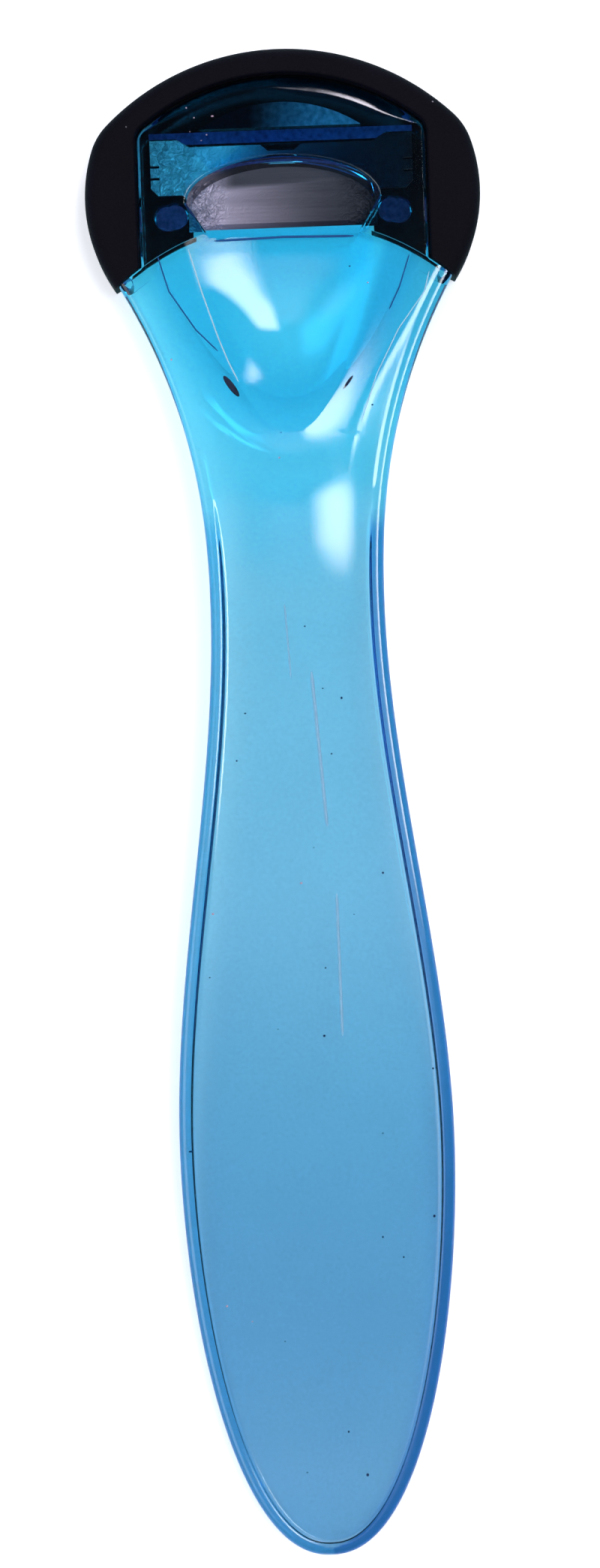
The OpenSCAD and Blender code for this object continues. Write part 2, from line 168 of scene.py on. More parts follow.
# Heights in the head
SOLE_T = 1.1
BLADE_Z = SOLE_T + 0.1
BED_Z = BLADE_Z + 0.4
FLANGE_Z = BED_Z + 3.6
COVER_Z = FLANGE_Z + SIDE_GAP + 1.6
ISLAND_Z = COVER_Z - 0.6
SHOULDER_Z = COVER_Z - 0.2
# Films of air between the blade and the tongue, and under the shaver
FILM = 0.02
FLOOR_GAP = 0.05
# How far cutters reach past what they cut, how deep joined parts sink in, what is one point, and
# from how many degrees an edge is sharp
PAST = 1
SINK = 1.2
WELD = 1e-7
SHARP_ANGLE = 32
# Ceilings of the relief behind the blade and of the hollow in front of it
RELIEF_Z = BED_Z + 0.15
HOLLOW_Z = BLADE_Z + 1.2
COVER_LOW_Y = HANDLE_L - 2
# Rounding of the cover's sole: how far it goes in, and how high it rises
SOLE_IN = 3
SOLE_RISE = 2.2
# Within this distance a face lies at a height
LEVEL = 0.01

# Painted shade in the clear plastic's tint: its tones at the two ends, darker at the tail where the light
# falls off, and the painted shade that the rim's parts and the other zones take from it
SHADE_TINT_MAP = "tint"
TAIL_SHADE_TONE = (0.66, 0.69, 0.83)
HEAD_LIGHT_TONE = (1.0, 0.955, 0.955)
RIM_LEFT_SHADE = np.array([0.22, 0.63, 0.91])
RIM_RIGHT_SHADE = np.array([0.09, 0.3, 0.65])
WALL_LEFT_SHADE = np.array([0.7, 0.9, 1.0])
WALL_RIGHT_SHADE = np.array([0.5, 0.75, 1.0])
SCOOP_SHADE = np.array([0.4, 0.78, 0.87])
FLANK_SHADE = np.array([0.6, 0.77, 0.87])
LIP_SHADE = np.array([0.42, 0.75, 0.9])
WINDOW_SHADE = np.array([0.55, 0.75, 0.95])
ISLAND_SHADE = np.array([0.25, 0.28, 0.4])
EDGE_SHADE = np.array([0.4, 0.55, 0.88])

# Camera, from the photograph's height in pixels and its scale of millimetres for each pixel
FRAME_H = 2089
MM_PER_PIXEL = 0.082
VIEW_X = -0.44
VIEW_Y = 2.27
VIEW_TURN = 2.1
VIEW_PLANE_Z = 3.5


def mix(a, b, t):
    return a + (b - a) * t


def clamp01(t):
    return np.clip(t, 0.0, 1.0)


def smooth(t):
    u = clamp01(t)
    return u * u * (3 - 2 * u)


def ramp(value, start, run):
    """Soft step from 0 at start to 1 after the run, which is negative where the step leads down."""
    return smooth((value - start) / run)


def scene_props():
    return bpy.context.scene.shaver


# Shape of the handle


def half_width(y):
    """Half width of the handle's outline at y."""
    p = scene_props()
    grip, neck = p.grip_w / MM / 2, p.neck_w / MM / 2
    tail = grip * np.power(clamp01(1 - np.power(clamp01(1 - y / GRIP_Y), TAIL_POWER)), 1 / TAIL_FULLNESS)
    waist = mix(grip, neck, ramp(y, GRIP_Y, NECK_Y - GRIP_Y))
    flare = mix(neck, SHOULDER_HALF, np.power(np.maximum((y - NECK_Y) / FLARE_L, 0), FLARE_POWER))
    return np.where(y <= GRIP_Y, tail, np.where(y <= NECK_Y, waist, flare))


def arch(y):
    """Height of the underside above the table, without the keel."""
    return ARCH_RISE * ramp(y, TAIL_REST_Y, ARCH_Y - TAIL_REST_Y)


def beyond(x, y, start, spread):
    """Distance outside a parabola that opens towards the head."""
    return (start + (x / spread) ** 2 - y) / np.sqrt(1 + (2 * x / spread**2) ** 2)


def under(x, y):
    """Height of the underside, with the keel that comes down to the sole."""
    keel = (1 - clamp01(beyond(x, y, KEEL_Y, KEEL_SPREAD) / KEEL_RAMP)) ** 2
    return mix(arch(y), KEEL_Z, keel)


def crest(y):
    """Height of the rim."""
    grip = arch(y) + mix(TAIL_T, NECK_T, smooth(y / NECK_Y))
    flare = mix(ARCH_RISE + NECK_T, SHOULDER_Z, ramp(y, NECK_Y, FLARE_L))
    return np.where(y <= NECK_Y, grip, flare)


def panel(y):
    """Depth of the sunk grip panel."""
    return scene_props().panel_recess / MM * ramp(y, PANEL_END_Y, -PANEL_RAMP)


def scoop_half(y):
    """Half width of the scoop at y, where it opens as a parabola."""
    return SCOOP_SPREAD * np.sqrt(np.maximum(y - SCOOP_Y, 0))


def scoop(x, y):
    """Depth of the thumb scoop, with a small round along its crease."""
    deepest = scene_props().scoop_depth / MM
    fall = deepest * ramp(y, SCOOP_Y, SCOOP_LOW_Y - SCOOP_Y)
    middle = mix(fall, SCOOP_END_DEPTH, ramp(y, SCOOP_LOW_Y, SCOOP_RUN))
    half = np.maximum(scoop_half(y), 1e-3)
    inside = 1 - (x / half) ** 2
    rounded = 0.5 * (inside + np.sqrt(inside**2 + CREASE_SOFT**2))
    faded = rounded * np.exp(-np.maximum(-inside, 0) / CREASE_FADE)
    return np.where(y > SCOOP_Y, middle * faded, 0.0)


def swelling(x, y):
    """Swelling round the scoop's edge, which dies away towards the head."""
    rise = scene_props().lip_rise / MM * ramp(y, SWELL_END_Y, -SWELL_FADE)
    return rise * np.exp(-np.maximum(beyond(x, y, SCOOP_Y, SCOOP_SPREAD), 0) / SWELL_SPREAD)


def flank(x, y):
    """Outer facets beside the swelling, with the thin bead that the right-hand one starts at."""
    width = half_width(y)
    line = width - mix(FLANK_IN_NECK, FLANK_IN_HEAD, ramp(y, FLANK_TURN_Y, FLANK_TURN))
    out = clamp01((np.abs(x) - line) / np.maximum(width - TOP_ROUND - line, BEAD_W))
    bead = scene_props().bead_h / MM * np.exp(-(((x - line) / BEAD_W) ** 2))
    return ramp(y, FLANK_START_Y, FLANK_START) * (bead - FACET_FALL * out)


def crown(x, y):
    """Crowning of the neck between the panel and the scoop."""
    rise = scene_props().neck_crown / MM * ramp(y, CROWN_Y, CROWN_RUN) * ramp(y, CROWN_END_Y, -CROWN_END)
    return rise * clamp01(1 - (x / CROWN_HALF) ** 2) ** 2


def top(x, y):
    """Height of the handle's top."""
    return crest(y) - panel(y) - scoop(x, y) + swelling(x, y) + flank(x, y) + crown(x, y)


def top_at(x, y):
    """Height of the top at one point."""
    return float(top(np.array([x]), np.array([y]))[0])


# Mesh helpers


def select_only(obj):
    bpy.ops.object.select_all(action="DESELECT")
    obj.select_set(True)
    bpy.context.view_layer.objects.active = obj


def read_points(obj):
    """Vertices of an object's mesh, in metres and one to a row."""
    flat = np.empty(len(obj.data.vertices) * 3)
    obj.data.vertices.foreach_get("co", flat)
    return flat.reshape(-1, 3)


def place(obj, points):
    """Moves an object's vertices to points given in millimetres from the tail."""
    points = np.array(points, dtype=float)
    points[:, 1] -= OVERALL_L / 2
    obj.data.vertices.foreach_set("co", (points * MM).ravel())
    obj.data.update()


def repair(obj):
    """Merges doubles and turns the faces outwards."""
    select_only(obj)
    bpy.ops.object.mode_set(mode="EDIT")
    bpy.ops.mesh.select_all(action="SELECT")
    bpy.ops.mesh.remove_doubles(threshold=WELD)
    bpy.ops.mesh.normals_make_consistent(inside=False)
    bpy.ops.object.mode_set(mode="OBJECT")


def combine(target, tool, operation):
    """Applies a boolean of target with tool, and removes the tool."""
    modifier = target.modifiers.new("combine", "BOOLEAN")
    modifier.operation = operation
    modifier.object = tool
    modifier.solver = "MANIFOLD"
    select_only(target)
    bpy.ops.object.modifier_apply(modifier=modifier.name)
    bpy.data.objects.remove(tool, do_unlink=True)
    if not target.data.polygons:
        raise RuntimeError(f"{target.name} came out empty")


def arc(centre, r, start, end, steps):
    """Points along an arc, whose start and end are degrees from +X."""
    angles = np.radians(np.linspace(start, end, steps + 1))
    return np.stack([centre[0] + r * np.cos(angles), centre[1] + r * np.sin(angles)], axis=1)


def both_sides(side):
    """Whole outline from its right-hand side, listed from low to the front's middle."""
    left = side[::-1][1:] * [-1, 1]
    return np.concatenate([side, left])


def mirrored(side):
    """Whole outline from its right-hand side, when no point of it lies on the middle."""
    return np.concatenate([side, side[::-1] * [-1, 1]])


def rectangle(half, low, high):
    """Outline that is as wide to the left as to the right, between two places along y."""
    return mirrored(np.array([[half, low], [half, high]]))


def rounded_edge(r, z, angles):
    """Insets and heights of an outline that runs up a rounded edge to height z."""
    return [(r * (1 - math.cos(a)), z - r * (1 - math.sin(a))) for a in angles]


def grown(outline, by):
    """Outline moved outwards by a distance, for one that runs counterclockwise."""
    ahead = np.roll(outline, -1, axis=0) - np.roll(outline, 1, axis=0)
    normal = np.stack([ahead[:, 1], -ahead[:, 0]], axis=1)
    normal /= np.linalg.norm(normal, axis=1)[:, None]
    return outline + normal * by


def stacked(name, outlines, heights):
    """Closed solid through outlines of equal length, each drawn at its own height."""
    bpy.ops.object.select_all(action="DESELECT")
    bpy.ops.mesh.primitive_circle_add(vertices=len(outlines[0]), radius=1, fill_type="NGON")
    obj = bpy.context.object
    obj.name = name
    first = np.column_stack([outlines[0], np.full(len(outlines[0]), heights[0])])
    place(obj, first)
    bpy.ops.object.mode_set(mode="EDIT")
    for below, outline, height in zip(outlines, outlines[1:], heights[1:]):
        bpy.ops.mesh.extrude_region_move()
        mesh = bmesh.from_edit_mesh(obj.data)
        raised = [v for v in mesh.verts if v.select]
        at = np.array([v.co[:2] for v in raised]) / MM + [0, OVERALL_L / 2]
        nearest = np.linalg.norm(at[:, None] - below[None], axis=2).argmin(axis=1)
        if len(set(nearest)) != len(below):
            raise RuntimeError(f"{name} has points that lie too close together")
        for v, k in zip(raised, nearest):
            v.co = Vector((outline[k][0], outline[k][1] - OVERALL_L / 2, height)) * MM
        bmesh.update_edit_mesh(obj.data)
    bpy.ops.object.mode_set(mode="OBJECT")
    repair(obj)
    return obj


def prism(name, outline, low, high):
    """Solid of one outline between two heights."""
    return stacked(name, [outline, outline], [low, high])


def finish_shape(obj):
    """Smooth shading with sharp edges kept, and the rule that big faces set the normals."""
    select_only(obj)
    bpy.ops.object.shade_smooth_by_angle(angle=math.radians(SHARP_ANGLE))
    modifier = obj.modifiers.new("normals", "WEIGHTED_NORMAL")
    modifier.keep_sharp = True
    bpy.ops.object.modifier_apply(modifier=modifier.name)


# Outlines of the head


def slab_side(half, r, front, corner, inset, low_r):
    """Right-hand side of an outline with straight sides, round corners and an arc in front.

    The arc in front starts a little past the corner, so that no two points are one."""
    cy, cx = front - r, half - corner
    jy = cy + math.sqrt((r - corner) ** 2 - cx**2)
    turn = math.degrees(math.atan2(jy - cy, cx))
    low = SHOULDER_CY + math.sqrt(low_r**2 - (half - inset) ** 2)
    straight = np.column_stack([np.full(12, half - inset), np.linspace(low, jy, 13)[:-1]])
    return np.concatenate(
        [
            straight,
            arc((cx, jy), corner - inset, 0, turn, 12),
            arc((0, cy), r - inset, turn + 2, 90, 36),
        ]
    )


def slab(half, r, front, corner, inset, low_r, back_cols=40):
    """Closed outline of a slab whose back follows the shoulder's arc."""
    side = both_sides(slab_side(half, r, front, corner, inset, low_r))
    edge = math.degrees(math.acos(-(half - inset) / low_r))
    back = arc((0, SHOULDER_CY), low_r, edge, 180 - edge, back_cols)[1:-1]
    return np.concatenate([side, back])


def opening_outline(inset, low_r):
    """Plan of the cover's opening over the tongue, drawn in by the inset."""
    return slab(OPENING_HALF, OPENING_R, OPENING_Y, OPENING_CORNER, inset, low_r)


def pocket_outline(inset, low_r):
    """Plan of the pocket that the tongue slides in, drawn in by the inset."""
    return slab(POCKET_HALF, OPENING_R + LIP_FRONT, POCKET_Y, OPENING_CORNER + LIP_SIDE, inset, low_r)


def cover_outline(inset):
    """Plan of the cover: bulging sides and a broad round front, joined by smaller arcs.

    Each arc starts one step past the end of the arc before it."""
    fc, sc = np.array([0, OVERALL_L - FRONT_R]), np.array([SIDE_CX, SIDE_Y])
    ra, rb = FRONT_R - CORNER_R, SIDE_R - CORNER_R
    d = np.linalg.norm(sc - fc)
    along = (ra * ra - rb * rb + d * d) / (2 * d)
    u = (sc - fc) / d
    cc = fc + along * u + math.sqrt(ra * ra - along * along) * np.array([u[1], -u[0]])
    low = math.degrees(math.asin((COVER_LOW_Y - SIDE_Y) / SIDE_R))
    a1 = math.degrees(math.atan2(cc[1] - sc[1], cc[0] - sc[0]))
    a2 = math.degrees(math.atan2(cc[1] - fc[1], cc[0] - fc[0]))
    side = np.concatenate(
        [
            arc(sc, SIDE_R - inset, low, a1, 48),
            arc(cc, CORNER_R - inset, a1 + (a2 - a1) / 16, a2, 15),
            arc(fc, FRONT_R - inset, a2 + (90 - a2) / 48, 90, 47),
        ]
    )
    return both_sides(side)


def window_outline():
    """Plan of the window: half an oval over slanted sides that end at the lip."""
    tips = arc((0, 0), 1, 0, 180, 64) * [WINDOW_HALF, WINDOW_RISE] + [0, WINDOW_Y]
    left = np.linspace(tips[-1], [-WINDOW_FLAT, LIP_Y], 9)[1:]
    low = np.linspace([-WINDOW_FLAT, LIP_Y], [WINDOW_FLAT, LIP_Y], 17)[1:]
    right = np.linspace([WINDOW_FLAT, LIP_Y], tips[0], 9)[1:-1]
    return np.concatenate([tips, left, low, right])


# Pieces


def rim_top(x, y):
    """Height of the rim, in the form that loft_columns asks of a height."""
    return crest(y)


def loft_columns(stations):
    """Rings of points round the handle: one row for each station, from the bottom's middle round
    the right-hand edge to the top's middle."""
    edge = np.stack([half_width(stations), stations], axis=1)
    run = np.gradient(edge, axis=0)
    run[0] = (1, 0)
    out = np.stack([run[:, 1], -run[:, 0]], axis=1)
    out /= np.linalg.norm(out, axis=1)[:, None]
    p = scene_props()
    rim, wall = p.rim_w / MM, p.wall_w / MM
    columns = []

    def ring(inset):
        return edge - out * inset

    def add(x, y, height, lift=0):
        x = np.where(stations == stations[0], 0, x)
        columns.append(np.stack([x, y, height(x, y) + lift], axis=1))

    # Underside from the middle to the keel's fold, and on to the edge
    base_x, base_y = ring(UNDER_ROUND).T
    base_x[0] = 0
    fold = KEEL_SPREAD * np.sqrt(np.maximum(base_y - KEEL_Y, 0))
    fold = np.clip(fold, base_x * UNDER_FOLD[0], base_x * UNDER_FOLD[1])
    for t in np.linspace(0, 1, 15):
        add(fold * t, base_y, under)
    for t in np.linspace(0, 1, 15)[1:-1]:
        add(mix(fold, base_x, t), base_y, under)
    # Round the edge, over the rim and down its wall
    turns = np.radians(np.linspace(0, 90, 9))
    for a in turns:
        add(*ring(UNDER_ROUND * (1 - math.sin(a))).T, under, UNDER_ROUND * (1 - math.cos(a)))
    for a in turns:
        add(*ring(TOP_ROUND * (1 - math.cos(a))).T, rim_top, -TOP_ROUND * (1 - math.sin(a)))
    add(*ring(mix(TOP_ROUND, rim, 0.5)).T, rim_top)
    for t in np.linspace(0, 1, 9):
        add(*ring(rim + wall * t).T, lambda x, y, down=smooth(t): mix(crest(y), top(x, y), down))
    # Panel and scoop, to the crease and on to the middle
    inner_x, inner_y = ring(rim + wall).T
    inner_x[0] = 0
    fold = scoop_half(inner_y)
    fold = np.where(fold <= 0, inner_x / 2, np.clip(fold, inner_x * TOP_FOLD[0], inner_x * TOP_FOLD[1]))
    for t in np.linspace(0, 1, 21)[1:]:
        add(mix(inner_x, fold, 1 - (1 - t) ** PACKING), inner_y, top)
    for t in np.linspace(0, 1, 23)[1:]:
        add(mix(fold, 0, t**PACKING), inner_y, top)
    return np.stack(columns, axis=1)


def loft_body():
    """The long body of the handle, from the tail to past the shoulder."""
    scoop_start = SCOOP_Y + 4
    runs = (
        (GRIP_Y, NECK_Y, 90),
        (NECK_Y, SCOOP_Y, 55),
        (SCOOP_Y, scoop_start, 36),
        (scoop_start, SHOULDER_CY + SHOULDER_R + PAST, 95),
    )
    stations = [GRIP_Y * (1 - np.cos(np.radians(np.linspace(0, 90, 91))))]
    stations += [np.linspace(start, end, steps + 1)[1:] for start, end, steps in runs]
    half = loft_columns(np.concatenate(stations))
    whole = np.concatenate([half, half[:, -2:0:-1] * [-1, 1, 1], half[:, :1]], axis=1)
    rows, cols = whole.shape[:2]
    bpy.ops.object.select_all(action="DESELECT")
    bpy.ops.mesh.primitive_grid_add(x_subdivisions=cols - 1, y_subdivisions=rows - 1, size=1)
    obj = bpy.context.object
    obj.name = "handle_body"
    grid = read_points(obj)
    i = np.rint((grid[:, 1] + 0.5) * (rows - 1)).astype(int)
    j = np.rint((grid[:, 0] + 0.5) * (cols - 1)).astype(int)
    place(obj, whole[i, j])
    select_only(obj)
    bpy.ops.object.mode_set(mode="EDIT")
    bpy.ops.mesh.select_all(action="SELECT")
    bpy.ops.mesh.remove_doubles(threshold=WELD)
    bpy.ops.mesh.select_all(action="DESELECT")
    bpy.ops.mesh.select_non_manifold(extend=False, use_wire=True, use_boundary=True, use_multi_face=False,
                                     use_non_contiguous=False, use_verts=False)
    bpy.ops.mesh.edge_face_add()
    bpy.ops.mesh.select_all(action="SELECT")
    bpy.ops.mesh.normals_make_consistent(inside=False)
    bpy.ops.object.mode_set(mode="OBJECT")
    return obj


def shoulder_cutter():
    """Everything beyond the arc on which the cover meets the shoulder."""
    reach = 24
    edge = math.degrees(math.acos(reach / SHOULDER_R))
    near = arc((0, SHOULDER_CY), SHOULDER_R, edge, 180 - edge, 96)
    far = np.array([[-reach, OVERALL_L + PAST], [reach, OVERALL_L + PAST]])
    return prism("beyond", np.concatenate([near, far]), -PAST, COVER_Z + 2 * PAST)


def island():
    """Raised island of the tongue, sunk into the flange.

    A nearly straight facet in its rounding catches the window's light. The rounding is drawn out
    at the front and narrow along the straight sides."""
    low_r = SHOULDER_R - SINK
    facet_at, facet_in, facet_down = 9, 0.27, 0.21
    side_share, front_left, front_right = 0.25, 1.0, 1.9
    r = scene_props().island_round / MM
    turns = np.radians(np.linspace(0, 90, 16))
    steps = [(0, BED_Z + SINK), *rounded_edge(r, ISLAND_Z - facet_down, turns[:facet_at])]
    steps += [(inset + facet_in, z) for inset, z in rounded_edge(r, ISLAND_Z, turns[facet_at:])]
    plan = opening_outline(SIDE_GAP, low_r)
    front = mix(front_left, front_right, ramp(plan[:, 0], -4, 8))
    share = mix(side_share, front, ramp(plan[:, 1], CORNER_Y, 4))[:, None]
    outlines = [mix(plan, opening_outline(SIDE_GAP + inset, low_r), share) for inset, _ in steps]
    return stacked("island", outlines, [z for _, z in steps])


def tongue():
    """Flange with the blade's bed under it, and the raised island on top."""
    flange = prism("flange", pocket_outline(SIDE_GAP, SHOULDER_R - SINK), BLADE_Z, FLANGE_Z)
    # The bed reaches back past the lip, for the blade's stem
    bed = rectangle(BED_HALF, LIP_Y - 12, STOP_Y)
    combine(flange, prism("bed", bed, BLADE_Z - PAST, BED_Z + FILM), "DIFFERENCE")
    # The relief leaves a thin line along the blade's stepped back edge
    step_in, step_out = 10.4, 11.5
    back, corner = BACK_Y + 0.25, CORNER_Y + 0.1
    relief = mirrored(np.array([[step_in, back], [step_out, corner], [BED_HALF, corner], [BED_HALF, STOP_Y]]))
    combine(flange, prism("relief", relief, BLADE_Z - PAST, RELIEF_Z), "DIFFERENCE")
    hollow_y, hollow_r, hollow_rise = STOP_Y + 0.25, 15.7, 2.7
    half = math.degrees(math.acos((hollow_r - hollow_rise) / hollow_r))
    lens = arc((0, hollow_y + hollow_rise - hollow_r), hollow_r, 90 - half, 90 + half, 40)
    combine(flange, prism("hollow", lens, BLADE_Z - PAST, HOLLOW_Z), "DIFFERENCE")
    combine(flange, island(), "UNION")
    return flange


def stud(side):
    """Two-lobed stud beside the blade's stem, with a small bevel at its foot."""
    bevel = 0.18
    lobes = []
    for lobe in (0, 1):
        centre = (side * (STUD_X + lobe * STUD_LOBE), STUD_Y - lobe * STUD_STEP)
        rings = [arc(centre, STUD_D / 2 - inset, 0, 352.5, 47) for inset in (bevel, 0, 0, 0)]
        lobes.append(stacked("stud", rings, [BLADE_Z, BLADE_Z + bevel, BED_Z, BED_Z + SINK]))
    combine(*lobes, "UNION")
    return lobes[0]


def key():
    """Key that stands in the notch of the blade's back edge."""
    wide, foot, deep, reach = 2.15, 1.3, 0.6, 0.05
    side = np.array([[foot, BACK_Y - deep], [wide, BACK_Y], [wide, BACK_Y + reach]])
    return prism("key", mirrored(side), BLADE_Z, BED_Z + SINK)


def window_cutter():
    """Window through the tongue, wider at the top and with a rounded upper rim."""
    plan = window_outline() - [0, LIP_Y]
    rim = scene_props().window_rim / MM
    steps = [(0, -PAST), (0, ISLAND_Z - rim)]
    steps += rounded_edge(rim, ISLAND_Z, np.radians([25, 45, 65, 80, 90]))
    steps += [(rim * 1.4, ISLAND_Z + 2 * PAST)]
    outlines = []
    for flare, z in steps:
        draft = mix(1, WINDOW_DRAFT, (z + PAST) / (ISLAND_Z + 2 * PAST))
        # The flare of the rim leaves the lower side nearly where it is
        wide = grown(plan * draft + [0, LIP_Y], flare)
        wide[:, 1] = np.maximum(wide[:, 1], LIP_Y - 0.12 * flare)
        outlines.append(wide)
    window = stacked("window", outlines, [z for _, z in steps])
    # The lip slopes down to the throat in front of the cutting edge
    ledge_z = SHOULDER_Z - SCOOP_END_DEPTH - 0.3
    throat_z = ledge_z - 1.1
    drawn = [rectangle(BLADE_HALF, LIP_Y - PAST, y) for y in (THROAT_Y + 0.01, THROAT_Y, LIP_Y)]
    slope = stacked("slope", drawn, [-2 * PAST, throat_z, ledge_z])
    combine(window, slope, "DIFFERENCE")
    return window


def paint_tint_and_shade(obj):
    """Stores at each point a tone of painted shade that the clear plastic's colour is multiplied by: deepest
    at the tail, where the light falls off, along the rim's edges, in the slope between rim and panel, and
    round the head's edges, with more painted shade in the scoop, beside it, on the lip, round the window and
    on the island's rounding."""
    x, y, z = (read_points(obj) / MM + [0, OVERALL_L / 2, 0]).T
    step = 0.1
    lean = (half_width(y + step) - half_width(y - step)) / (2 * step)
    inward = (half_width(y) - np.abs(x)) / np.sqrt(1 + lean**2)
    p = scene_props()
    rim, wall = p.rim_w / MM, p.wall_w / MM
    right = (x > 0)[:, None]
    upper = z > 3
    on_top = (z > crest(y) - 1.4) & (y < LIP_Y)
    on_grip = ramp(y, HANDLE_L - 24, -4) * on_top
    in_wall = clamp01(1 - np.abs(inward - (rim + wall / 2)) / wall)
    in_scoop = ramp(np.abs(x), scoop_half(y), -1.6)
    around = np.hypot(x / WINDOW_HALF, (y - WINDOW_Y) / WINDOW_RISE)
    # Each zone's painted shade, and how much of it each point takes
    zones = (
        (np.where(right, RIM_RIGHT_SHADE, RIM_LEFT_SHADE), ramp(inward, rim + wall, -0.3) * on_grip),
        (np.where(right, WALL_RIGHT_SHADE, WALL_LEFT_SHADE), smooth(in_wall * on_grip)),
        (EDGE_SHADE, ramp(inward, 0.35, -0.3) * on_top),
        (SCOOP_SHADE, ramp(y, 136.5, 5) * in_scoop * upper),
        (FLANK_SHADE, ramp(x, scoop_half(y), 1.2) * ramp(y, 124, 6) * upper),
        (LIP_SHADE, (y > LIP_Y - 0.02) & (y < THROAT_Y + 0.04) & (np.abs(x) < 9)),
        (WINDOW_SHADE, (y > WINDOW_Y) & (around < 1.25) & (x > -7)),
        (ISLAND_SHADE, (y > CORNER_Y + 1.2) & (z > FLANGE_Z - 0.3) & (z < ISLAND_Z - 0.04)),
    )
    # Painted shade: the plastic is darker towards the tail, where the light falls off
    tone = mix(np.array(TAIL_SHADE_TONE), np.array(HEAD_LIGHT_TONE), ramp(y, 16, 90)[:, None])
    for colour, share in zones:
        tone = tone * mix(1, colour, share[:, None])
    layer = obj.data.attributes.new(SHADE_TINT_MAP, "FLOAT_COLOR", "POINT")
    layer.data.foreach_set("color", np.column_stack([tone, np.ones(len(tone))]).ravel())


# Finishes


class NodeBuilder:
    """Short calls that fill the node tree of a material, a light or the world."""

    def __init__(self, owner):
        owner.use_nodes = True
        self.tree = owner.node_tree
        self.tree.nodes.clear()

    def add(self, kind, links=None, **values):
        node = self.tree.nodes.new(kind)
        for name, value in values.items():
            setattr(node, name, value)
        for socket, source in (links or {}).items():
            if isinstance(source, bpy.types.NodeSocket):
                self.tree.links.new(source, node.inputs[socket])
            else:
                node.inputs[socket].default_value = source
        return node

    def where(self):
        return self.add("ShaderNodeTexCoord").outputs["Object"]

    def axes(self, vector):
        return self.add("ShaderNodeSeparateXYZ", {0: vector}).outputs

    def noise(self, where, scale, detail=2.0, distortion=0.0):
        links = {"Vector": where, "Scale": scale, "Detail": detail, "Distortion": distortion}
        return self.add("ShaderNodeTexNoise", links).outputs["Fac"]

    def ramp(self, value, low, high, start=0.0, end=1.0, soft=False):
        """Runs from start to end while the value runs from low to high."""
        links = {"Value": value, "From Min": low, "From Max": high, "To Min": start, "To Max": end}
        shape = "SMOOTHSTEP" if soft else "LINEAR"
        return self.add("ShaderNodeMapRange", links, interpolation_type=shape).outputs[0]

    def calc(self, operation, *values):
        return self.add("ShaderNodeMath", dict(enumerate(values)), operation=operation).outputs[0]

    def scaled(self, vector, factor):
        return self.add("ShaderNodeVectorMath", {0: vector, 1: factor}, operation="MULTIPLY").outputs[0]

    def blend(self, share, first, second):
        """Mixes two colours, each a node's output or three numbers."""
        ends = [c if isinstance(c, bpy.types.NodeSocket) else (*c, 1) for c in (first, second)]
        return self.add("ShaderNodeMixRGB", {0: share, 1: ends[0], 2: ends[1]}).outputs[0]

    def bump(self, height, strength, distance):
        links = {"Height": height, "Strength": strength, "Distance": distance}
        return self.add("ShaderNodeBump", links).outputs[0]

    def principled(self, links):
        return self.add("ShaderNodeBsdfPrincipled", links).outputs[0]

    def finish(self, surface, volume=None):
        output = self.add("ShaderNodeOutputMaterial", {"Surface": surface})
        if volume:
            self.tree.links.new(volume, output.inputs["Volume"])


def clear_plastic():
    """Clear blue plastic: it colours light by the depth it crosses, and lamps shine through it."""
    p = scene_props()
    material = bpy.data.materials.new("clear_blue_plastic")
    b = NodeBuilder(material)
    where = b.where()
    flow = b.noise(where, 90.0, 3.0)
    fine = b.noise(where, 2600.0)
    bump = b.bump(b.calc("MULTIPLY_ADD", fine, 0.12, flow), 0.12, 0.0002)
    # The painted shade stored on the points darkens the plastic's colour
    painted = b.add("ShaderNodeAttribute", attribute_type="GEOMETRY", attribute_name=SHADE_TINT_MAP)
    cloud = b.calc("MULTIPLY", b.ramp(flow, 0.0, 1.0, 0.95, 1.03), b.ramp(fine, 0.3, 0.7, 0.96, 1.02))
    plastic = b.principled({"Base Color": b.scaled(painted.outputs["Color"], cloud), "Roughness": 0.045,
                            "IOR": 1.49, "Transmission Weight": 1.0, "Normal": bump})
    lamps = b.add("ShaderNodeBsdfTransparent", {"Color": (*p.lamp_tint, 1)})
    to_lamp = b.add("ShaderNodeLightPath").outputs["Is Shadow Ray"]
    mixed = b.add("ShaderNodeMixShader", {0: to_lamp, 1: plastic, 2: lamps.outputs[0]})
    depth = b.add("ShaderNodeVolumeAbsorption", {"Color": (*p.plastic_tint, 1), "Density": p.tint_depth})
    b.finish(mixed.outputs[0], depth.outputs[0])
    return material


def matt_blue(name, left, right):
    """Fine matt face in the mould under the clear tongue, in one tone to the left and one to the right."""
    material = bpy.data.materials.new(name)
    b = NodeBuilder(material)
    where = b.where()
    tone = b.blend(b.ramp(b.axes(where)["X"], -0.0038, 0.006, soft=True), left, right)
    grain = b.noise(where, 1600.0, 4.0)
    b.finish(b.principled({"Base Color": b.scaled(tone, b.ramp(grain, 0.3, 0.7, 0.55, 1.2)),
                           "Roughness": 0.7, "Specular IOR Level": 0.05,
                           "Normal": b.bump(grain, 0.7, 0.0001)}))
    return material


def black_plastic():
    """Matte black moulded plastic with a fine spark-eroded grain and a few pale dust grains."""
    p = scene_props()
    material = bpy.data.materials.new("black_plastic")
    b = NodeBuilder(material)
    where = b.where()
    grain = b.noise(where, p.grain_scale, 3.0)
    paler = (p.black[0] * 2.6, p.black[1] * 1.7, p.black[2] * 2.1)
    tone = b.blend(b.noise(where, 140.0), p.black, paler)
    dust_at = b.add("ShaderNodeTexVoronoi", {"Vector": where, "Scale": 900.0}).outputs
    speck = b.ramp(dust_at["Distance"], 0.06, 0.1, 1.0, 0.0)
    drawn = b.add("ShaderNodeSeparateColor", {0: dust_at["Color"]}).outputs[0]
    grains = b.calc("MULTIPLY", speck, b.calc("GREATER_THAN", drawn, 0.97))
    b.finish(b.principled({"Base Color": b.blend(grains, tone, (0.3, 0.28, 0.32)),
                           "Roughness": b.ramp(grain, 0.0, 1.0, 0.62, 0.8), "Specular IOR Level": 0.08,
                           "Normal": b.bump(grain, 0.6, 0.00014)}))
    return material


